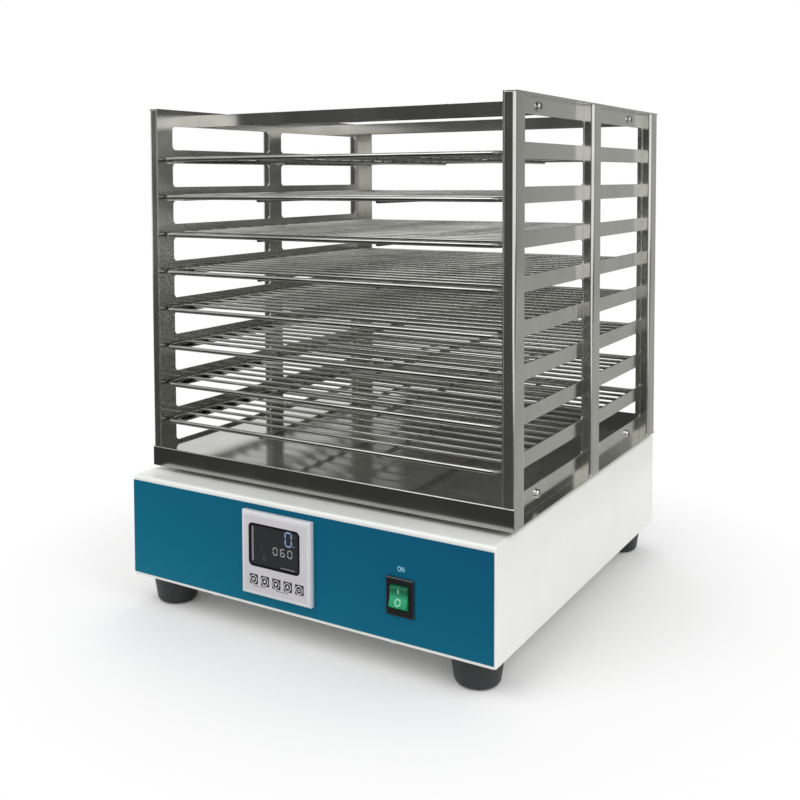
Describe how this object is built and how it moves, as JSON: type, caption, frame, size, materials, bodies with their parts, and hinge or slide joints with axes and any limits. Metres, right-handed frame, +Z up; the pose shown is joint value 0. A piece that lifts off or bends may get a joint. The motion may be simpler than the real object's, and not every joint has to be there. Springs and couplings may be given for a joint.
{
  "type": "platelet shaker",
  "caption": "Bench shaker: a crank in a flat white base rocks a polished carriage of wire shelves from side to side to keep platelet bags moving.",
  "frame": {"origin": "on the standing surface, under the middle of the whole machine with its carriage as pictured", "axes": "+X to the right of the front panel, +Y from the front to the back, +Z up"},
  "size_m": [0.3726, 0.4142, 0.4607],
  "materials": {
    "casing_white": "smooth semi-gloss paint",
    "panel_blue": "printed polyester overlay",
    "foot_rubber": "moulded matt rubber",
    "zinc_steel": "zinc plated",
    "meter_grey": "fine texture",
    "meter_window": "clear smoked window",
    "key_black": "moulded key tops with a printed sign",
    "black_plastic": "moulded black plastic",
    "switch_green": "translucent green rocker",
    "contact_brass": "nickel plated",
    "hard_chrome": "ground and hard chromed",
    "machined_aluminium": "machined",
    "motor_grey": "cast and painted",
    "drive_steel": "turned",
    "board_green": "solder mask",
    "polished_stainless": "mirror polished stainless sheet",
    "bolt_stainless": "bright stainless",
    "shelf_wire": "electropolished round wire"
  },
  "bodies": {
    "base": {"base_cover": "casing_white", "bottom_plate": "casing_white", "foot_front_left": "foot_rubber", "foot_front_right": "foot_rubber", "foot_rear_left": "foot_rubber", "foot_rear_right": "foot_rubber", "foot_studs": "zinc_steel", "cover_screws": "zinc_steel", "front_overlay": "panel_blue", "meter_case": "meter_grey", "meter_window": "meter_window", "meter_clips": "black_plastic", "switch_case": "black_plastic", "inlet_socket": "black_plastic", "inlet_pins": "contact_brass", "fuse_drawer": "black_plastic", "guide_rod_front": "hard_chrome", "guide_rod_rear": "hard_chrome", "rod_supports": "machined_aluminium", "gear_motor": "motor_grey", "motor_bracket": "zinc_steel", "motor_screws": "zinc_steel", "power_supply": "machined_aluminium", "speed_board": "board_green", "board_spacers": "black_plastic"},
    "carriage": {"carriage_tray": "polished_stainless", "side_sheet_left": "polished_stainless", "side_sheet_right": "polished_stainless", "post_front_left": "polished_stainless", "post_middle_left": "polished_stainless", "post_rear_left": "polished_stainless", "post_front_right": "polished_stainless", "post_middle_right": "polished_stainless", "post_rear_right": "polished_stainless", "top_bar_front": "polished_stainless", "top_bar_rear": "polished_stainless", "frame_bolts": "bolt_stainless", "bearing_blocks": "machined_aluminium", "spacer_posts": "drive_steel", "drive_yoke": "machined_aluminium"},
    "crank": {"motor_shaft": "drive_steel", "crank_disc": "drive_steel", "crank_pin": "drive_steel"},
    "roller": {"crank_roller": "drive_steel"},
    "switch": {"switch_rocker": "switch_green"},
    "key_1": {"meter_key_1": "key_black"},
    "key_2": {"meter_key_2": "key_black"},
    "key_3": {"meter_key_3": "key_black"},
    "key_4": {"meter_key_4": "key_black"},
    "key_5": {"meter_key_5": "key_black"},
    "rack_1": {"shelf_1": "shelf_wire"},
    "rack_2": {"shelf_2": "shelf_wire"},
    "rack_3": {"shelf_3": "shelf_wire"},
    "rack_4": {"shelf_4": "shelf_wire"},
    "rack_5": {"shelf_5": "shelf_wire"},
    "rack_6": {"shelf_6": "shelf_wire"},
    "rack_7": {"shelf_7": "shelf_wire"},
    "rack_8": {"shelf_8": "shelf_wire"}
  },
  "joints": [
    {"name": "carriage_slide", "type": "slide", "parent": "base", "child": "carriage", "axis": [1, 0, 0], "range_m": [-0.0235, 0.0145]},
    {"name": "crank_turn", "type": "hinge", "parent": "base", "child": "crank", "pos_m": [-0.00225, 0.00675, 0.11], "axis": [0, 0, 1], "continuous": true},
    {"name": "roller_turn", "type": "hinge", "parent": "crank", "child": "roller", "pos_m": [0.00225, -0.01171, 0.123], "axis": [0, 0, 1], "continuous": true},
    {"name": "switch_rock", "type": "hinge", "parent": "base", "child": "switch", "pos_m": [0.10055, -0.19915, 0.0657], "axis": [1, 0, 0], "range_deg": [0, 14]},
    {"name": "key_1_press", "type": "slide", "parent": "base", "child": "key_1", "axis": [0, 1, 0], "range_m": [0, 0.0006], "stiffness_N_per_m": 200},
    {"name": "key_2_press", "type": "slide", "parent": "base", "child": "key_2", "axis": [0, 1, 0], "range_m": [0, 0.0006], "stiffness_N_per_m": 200},
    {"name": "key_3_press", "type": "slide", "parent": "base", "child": "key_3", "axis": [0, 1, 0], "range_m": [0, 0.0006], "stiffness_N_per_m": 200},
    {"name": "key_4_press", "type": "slide", "parent": "base", "child": "key_4", "axis": [0, 1, 0], "range_m": [0, 0.0006], "stiffness_N_per_m": 200},
    {"name": "key_5_press", "type": "slide", "parent": "base", "child": "key_5", "axis": [0, 1, 0], "range_m": [0, 0.0006], "stiffness_N_per_m": 200},
    {"name": "shelf_1_pull", "type": "slide", "parent": "carriage", "child": "rack_1", "axis": [0, -1, 0], "range_m": [0, 0.25]},
    {"name": "shelf_2_pull", "type": "slide", "parent": "carriage", "child": "rack_2", "axis": [0, -1, 0], "range_m": [0, 0.25]},
    {"name": "shelf_3_pull", "type": "slide", "parent": "carriage", "child": "rack_3", "axis": [0, -1, 0], "range_m": [0, 0.25]},
    {"name": "shelf_4_pull", "type": "slide", "parent": "carriage", "child": "rack_4", "axis": [0, -1, 0], "range_m": [0, 0.25]},
    {"name": "shelf_5_pull", "type": "slide", "parent": "carriage", "child": "rack_5", "axis": [0, -1, 0], "range_m": [0, 0.25]},
    {"name": "shelf_6_pull", "type": "slide", "parent": "carriage", "child": "rack_6", "axis": [0, -1, 0], "range_m": [0, 0.25]},
    {"name": "shelf_7_pull", "type": "slide", "parent": "carriage", "child": "rack_7", "axis": [0, -1, 0], "range_m": [0, 0.25]},
    {"name": "shelf_8_pull", "type": "slide", "parent": "carriage", "child": "rack_8", "axis": [0, -1, 0], "range_m": [0, 0.25]}
  ]
}
